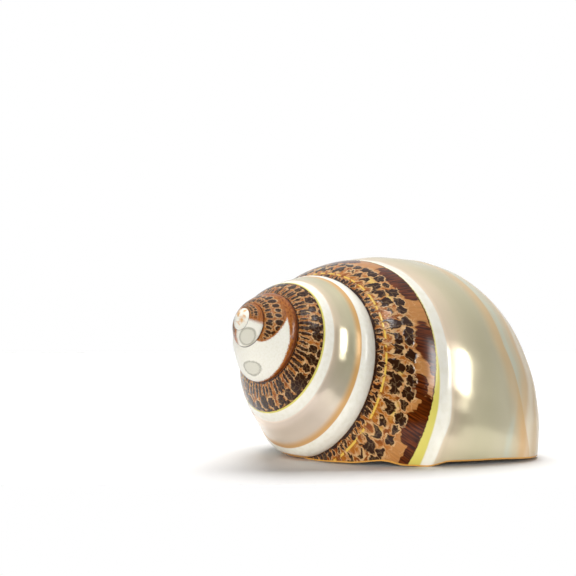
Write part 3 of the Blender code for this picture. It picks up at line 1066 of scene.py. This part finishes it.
        # Nacre's tints run along the whorl in bands a few millimetres wide.
        flow = add_node(tree, "VectorMath", {0: lay, 1: (0.16, 0.5, 1.0)}, operation="MULTIPLY")
        flow = add_node(tree, "TexNoise", {"Vector": flow, "Scale": 0.5, "Detail": 3.0})
        flow = add_node(tree, "Math", {0: flow, 1: 12.0, 2: -6.0}, operation="MULTIPLY_ADD")
        zone = add_node(tree, "Math", {0: read["station"], 1: flow}, operation="ADD")
        low, high = self.nacre[0][0], self.nacre[-1][0]
        zone = add_node(tree, "MapRange", {0: zone, 1: float(low), 2: float(high)})
        nacre = add_node(tree, "ValToRGB", {0: zone})
        ramp = nacre.node.color_ramp
        ramp.interpolation = "EASE"
        for number, (place, tint) in enumerate(self.nacre):
            if number >= 2:
                ramp.elements.new(1.0)
        for stop, (place, tint) in zip(ramp.elements, self.nacre):
            stop.position = (place - low) / (high - low)
            stop.color = linear(tint)

        # The lower part of the last whorl but one is rosier and paler: the nacre's own pink tint, with a painted
        # reflection of the bright table below it.
        reaches = add_node(tree, "MapRange", {0: read["turn"], 1: -375.0, 2: -325.0}, **STEP)
        leaves = add_node(tree, "MapRange", {0: read["turn"], 1: -180.0, 2: -280.0}, **STEP)
        rosy_and_reflection = add_node(tree, "Math", {0: reaches, 1: leaves}, operation="MULTIPLY")
        rosy_and_reflection = add_node(tree, "Math", {0: rosy_and_reflection, 1: 0.75}, operation="MULTIPLY")
        nacre = add_node(tree, "Mix", {0: rosy_and_reflection, 6: nacre, 7: linear(self.rose)}, **BLEND)

        patchy = add_node(tree, "TexNoise", {"Vector": lay, "Scale": 0.6, "Detail": 4.0})
        patchy = add_node(tree, "MapRange", {0: patchy, 1: 0.35, 2: 0.75}, **STEP)
        white = add_node(tree, "Mix", {0: patchy, 6: linear(self.white), 7: linear(self.worn)}, **BLEND)
        # The oldest whorls are worn to grey ovals with darker rims, and the tip is spotted with tan.
        oval = add_node(tree, "TexNoise", {"Vector": lay, "Scale": 1.0, "Detail": 2.0})
        oval = add_node(tree, "Math", {0: oval, 1: 0.5, 2: -0.25}, operation="MULTIPLY_ADD")
        oval = add_node(tree, "Math", {0: oval, 1: read["oval"]}, operation="ADD")
        inside = add_node(tree, "MapRange", {0: oval, 1: 0.0, 2: 0.16}, **STEP)
        inside = add_node(tree, "Math", {0: inside, 1: 0.55}, operation="MULTIPLY")
        white = add_node(tree, "Mix", {0: inside, 6: white, 7: linear(self.oval)}, **BLEND)
        ring = add_node(tree, "Math", {0: oval}, operation="ABSOLUTE")
        ring = add_node(tree, "MapRange", {0: ring, 1: 0.17, 2: 0.04}, **STEP)
        ring = add_node(tree, "Math", {0: ring, 1: 0.75}, operation="MULTIPLY")
        white = add_node(tree, "Mix", {0: ring, 6: white, 7: linear(self.oval_rim)}, **BLEND)
        at_tip = add_node(tree, "MapRange", {0: read["turn"], 1: -1190.0, 2: -1240.0}, **STEP)
        where = add_node(tree, "TexCoord", {}, "Object")
        spots = add_node(tree, "TexNoise", {"Vector": where, "Scale": 700.0, "Detail": 3.0})
        spots = add_node(tree, "MapRange", {0: spots, 1: 0.50, 2: 0.66}, **STEP)
        spots = add_node(tree, "Math", {0: spots, 1: at_tip}, operation="MULTIPLY")
        white = add_node(tree, "Mix", {0: spots, 6: white, 7: linear(self.tip_spot)}, **BLEND)
        # The yellow edge and the tan band fade in where the grinding starts.
        begins = add_node(tree, "MapRange", {0: read["turn"], 1: -545.0, 2: -465.0}, **STEP)
        is_yellow = add_node(tree, "MapRange", {0: read["yellow"], 1: -0.7, 2: 0.5}, **STEP)
        is_yellow = add_node(tree, "Math", {0: is_yellow, 1: begins}, operation="MULTIPLY")
        white = add_node(tree, "Mix", {0: is_yellow, 6: white, 7: linear(self.yellow)}, **BLEND)
        is_pearl = add_node(tree, "MapRange", {0: read["pearl"], 1: -0.6, 2: 0.6}, **STEP)
        colour = add_node(tree, "Mix", {0: is_pearl, 6: white, 7: nacre}, **BLEND)
        above = add_node(tree, "MapRange", {0: read["tan"], 1: 9.0, 2: 1.0}, **STEP)
        below = add_node(tree, "MapRange", {0: read["tan"], 1: -1.6, 2: -0.8}, **STEP)
        fades = add_node(tree, "MapRange", {0: read["turn"], 1: -250.0, 2: -120.0, 3: 0.9, 4: 0.45})
        tan = add_node(tree, "Math", {0: above, 1: below}, operation="MULTIPLY")
        tan = add_node(tree, "Math", {0: tan, 1: fades}, operation="MULTIPLY")
        tan = add_node(tree, "Math", {0: tan, 1: begins}, operation="MULTIPLY")
        return add_node(tree, "Mix", {0: tan, 6: colour, 7: linear(self.tan_band)}, **BLEND)


@dataclass(frozen=True)
class CutLip:
    """The lip's edge, where the layers show in section: a golden tan line that catches the light."""

    colour: str = "DDA651"
    pale: str = "EFD9A8"

    def make(self) -> bpy.types.Material:
        """Makes the material."""
        material = bpy.data.materials.new("cut_shell_lip")
        material.use_nodes = True
        tree = material.node_tree
        tree.nodes.clear()
        lay = add_node(tree, "Attribute", {}, "Vector", attribute_name="lay")
        patchy = add_node(tree, "TexNoise", {"Vector": lay, "Scale": 0.9, "Detail": 3.0})
        patchy = add_node(tree, "MapRange", {0: patchy, 1: 0.35, 2: 0.65}, **STEP)
        colour = {0: patchy, 6: linear(self.colour), 7: linear(self.pale)}
        colour = add_node(tree, "Mix", colour, **BLEND)
        normal = add_node(tree, "Bump", {"Height": patchy, "Distance": 0.05 * MM, "Strength": 0.4})
        surface = {"Base Color": colour, "Roughness": 0.3, "Normal": normal, "IOR": 1.56}
        surface = add_node(tree, "BsdfPrincipled", surface)
        add_node(tree, "OutputMaterial", {"Surface": surface})
        return material


@dataclass(frozen=True)
class ApertureNacre:
    """Natural nacre inside the aperture: silvery and a little greenish, glossy, never ground."""

    silver: str = "DEDCCB"
    green: str = "C3CDB4"
    rose: str = "E3CFC4"

    def make(self) -> bpy.types.Material:
        """Makes the material."""
        material = bpy.data.materials.new("aperture_nacre")
        material.use_nodes = True
        tree = material.node_tree
        tree.nodes.clear()
        lay = add_node(tree, "Attribute", {}, "Vector", attribute_name="lay")
        # Tints a few millimetres across, as growth layers show through one another.
        tints = []
        for scale in (0.12, 0.2):
            tint = add_node(tree, "TexNoise", {"Vector": lay, "Scale": scale, "Detail": 3.0})
            tints.append(add_node(tree, "MapRange", {0: tint, 1: 0.38, 2: 0.62}, **STEP))
        colour = {0: tints[0], 6: linear(self.silver), 7: linear(self.green)}
        colour = add_node(tree, "Mix", colour, **BLEND)
        rose = add_node(tree, "Math", {0: tints[1], 1: 0.6}, operation="MULTIPLY")
        colour = add_node(tree, "Mix", {0: rose, 6: colour, 7: linear(self.rose)}, **BLEND)
        roughness = add_node(tree, "MapRange", {0: tints[1], 1: 0.0, 2: 1.0, 3: 0.16, 4: 0.26})
        surface = {
            "Base Color": colour,
            "Metallic": 0.5,
            "Roughness": roughness,
            "IOR": 1.56,
            "Thin Film Thickness": 420.0,
            "Thin Film IOR": 1.38,
        }
        surface = add_node(tree, "BsdfPrincipled", surface)
        add_node(tree, "OutputMaterial", {"Surface": surface})
        return material


@dataclass(frozen=True)
class Softbox:
    """A soft light on a sphere of directions round the shell, all angles in degrees."""

    name: str
    azimuth: float
    elevation: float
    width: float
    height: float
    radiance: float
    tilt: float = 0.0
    mirrored: bool = True


@dataclass
class Studio:
    """A white table, soft lights and the camera. Azimuth 0 is the camera's side, and 90 its right."""

    target: Vector
    softboxes: tuple[Softbox, ...] = (
        Softbox("strip_box", 46.5, 20.5, 10, 33, 14.0, tilt=28),
        Softbox("glint_box", -6, 54, 14, 7, 24.0),
        Softbox("top_box", 180, 72, 44, 40, 7.7, mirrored=False),
        Softbox("fill_box", -15, 8, 64, 30, 5.2, mirrored=False),
    )
    reach: float = 500 * MM
    camera_distance: float = 347.9 * MM
    camera_aim: tuple[float, float, float] = (9.122 * MM, 0.0, 4.81 * MM)
    camera_tilt: float = math.radians(3.31)
    lens: float = 123.07
    floor_half: float = 210 * MM
    floor_front: float = -37 * MM
    floor_colour: str = "F3F2F1"
    room_above: float = 0.75
    room_behind: float = 0.85
    room_side: float = 0.46
    room_dark: str = "3C3726"

    def floor(self) -> bpy.types.Object:
        """A matt white table top, which ends in front of the camera's view as a real one does."""
        half, front = self.floor_half, self.floor_front
        mesh = bpy.data.meshes.new("table_top")
        corners = [(-half, front, 0), (half, front, 0), (half, half, 0), (-half, half, 0)]
        mesh.from_pydata(corners, [], [(0, 1, 2, 3)])
        material = bpy.data.materials.new("matt_white_laminate")
        material.use_nodes = True
        tree = material.node_tree
        tree.nodes.clear()
        surface = {
            "Base Color": linear(self.floor_colour),
            "Roughness": 0.9,
        }
        surface = add_node(tree, "BsdfPrincipled", surface)
        add_node(tree, "OutputMaterial", {"Surface": surface})
        mesh.materials.append(material)
        table = bpy.data.objects.new("table_top", mesh)
        bpy.context.scene.collection.objects.link(table)
        return table

    def light(self, box: Softbox) -> bpy.types.Object:
        """Adds a softbox.

        Args:
            box: Its direction, size and brightness.

        Returns:
            The light.
        """
        azimuth, elevation = math.radians(box.azimuth), math.radians(box.elevation)
        away = Vector(
            (
                math.sin(azimuth) * math.cos(elevation),
                -math.cos(azimuth) * math.cos(elevation),
                math.sin(elevation),
            )
        )
        data = bpy.data.lights.new(box.name, "AREA")
        data.shape = "RECTANGLE"
        data.size = 2 * self.reach * math.tan(math.radians(box.width / 2))
        data.size_y = 2 * self.reach * math.tan(math.radians(box.height / 2))
        data.energy = box.radiance * math.pi * data.size * data.size_y
        light = bpy.data.objects.new(box.name, data)
        light.location = self.target + away * self.reach
        light.rotation_mode = "QUATERNION"
        lean = Quaternion((0, 0, 1), -math.radians(box.tilt))
        light.rotation_quaternion = away.to_track_quat("Z", "Y") @ lean
        light.visible_camera = False
        light.visible_glossy = box.mirrored
        light.visible_diffuse = not box.mirrored
        bpy.context.scene.collection.objects.link(light)
        return light

    def room(self) -> bpy.types.World:
        """The room: white behind and above, darker towards the camera's side, white to the camera."""
        world = bpy.data.worlds.new("studio_room")
        world.use_nodes = True
        tree = world.node_tree
        tree.nodes.clear()
        direction = add_node(tree, "TexCoord", {}, "Generated")
        dot = {0: direction, 1: (0.0, -1.0, 0.0)}
        front = add_node(tree, "VectorMath", dot, "Value", operation="DOT_PRODUCT")
        to_side = add_node(tree, "MapRange", {0: front, 1: -0.9, 2: 0.0}, **STEP)
        behind, side, above = (
            (grey, grey, grey, 1.0) for grey in (self.room_behind, self.room_side, self.room_above)
        )
        colour = add_node(tree, "Mix", {0: to_side, 6: behind, 7: side}, **BLEND)
        to_front = add_node(tree, "MapRange", {0: front, 1: 0.35, 2: 0.85}, **STEP)
        colour = add_node(tree, "Mix", {0: to_front, 6: colour, 7: linear(self.room_dark)}, **BLEND)
        height = add_node(tree, "SeparateXYZ", {0: direction}, 2)
        to_ceiling = add_node(tree, "MapRange", {0: height, 1: 0.55, 2: 0.9}, **STEP)
        colour = add_node(tree, "Mix", {0: to_ceiling, 6: colour, 7: above}, **BLEND)
        seen = add_node(tree, "LightPath", {}, "Is Camera Ray")
        colour = add_node(tree, "Mix", {0: seen, 6: colour, 7: (1.0, 1.0, 1.0, 1.0)}, **BLEND)
        background = add_node(tree, "Background", {"Color": colour, "Strength": 1.0})
        add_node(tree, "OutputWorld", {"Surface": background})
        # The room is only seen and mirrored. The soft lights alone light what is matt, which
        # keeps the shell's shadow on the table as dark as it is in the photograph.
        world.cycles_visibility.diffuse = False
        bpy.context.scene.world = world
        return world

    def camera(self, apex: Vector) -> bpy.types.Object:
        """Adds the camera at the photograph's distance and angle.

        Args:
            apex: The spiral's apex.

        Returns:
            The camera.
        """
        data = bpy.data.cameras.new("camera")
        data.sensor_width = 36
        data.lens = self.lens
        data.clip_start = 0.01
        data.clip_end = 10
        camera = bpy.data.objects.new("camera", data)
        look = Vector((0, math.cos(self.camera_tilt), -math.sin(self.camera_tilt)))
        camera.location = apex + Vector(self.camera_aim) - look * self.camera_distance
        camera.rotation_mode = "QUATERNION"
        camera.rotation_quaternion = look.to_track_quat("-Z", "Y")
        bpy.context.scene.collection.objects.link(camera)
        bpy.context.scene.camera = camera
        return camera

    def build(self, apex: Vector) -> None:
        """Builds the studio round the shell."""
        self.floor()
        for box in self.softboxes:
            self.light(box)
        self.room()
        self.camera(apex)
        bpy.context.scene.view_settings.view_transform = "Standard"


def main() -> None:
    """Builds and dresses the shell, sets up the studio, and logs the shell's faces and the number of lights."""
    logging.basicConfig(level=logging.INFO, format="%(message)s")
    low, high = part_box(NODE)
    apex = Vector((low.x + 0.8536 * MM, low.y + 1.4709 * MM, 27.45 * MM))
    finishes = {
        Zone.OUTSIDE: PolishedTurbanShell().make(),
        Zone.LIP_EDGE: CutLip().make(),
        Zone.INSIDE: ApertureNacre().make(),
    }
    shell = TurbanShell(Growth(apex=tuple(apex))).build(finishes)
    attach(shell, "root")
    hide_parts(NODE)
    LOG.info("%s: %d faces", shell.name, len(shell.data.polygons))
    Studio(target=(low + high) / 2).build(apex)
    LOG.info("studio: %d lights", len(bpy.data.lights))


if __name__ == "__main__":
    main()
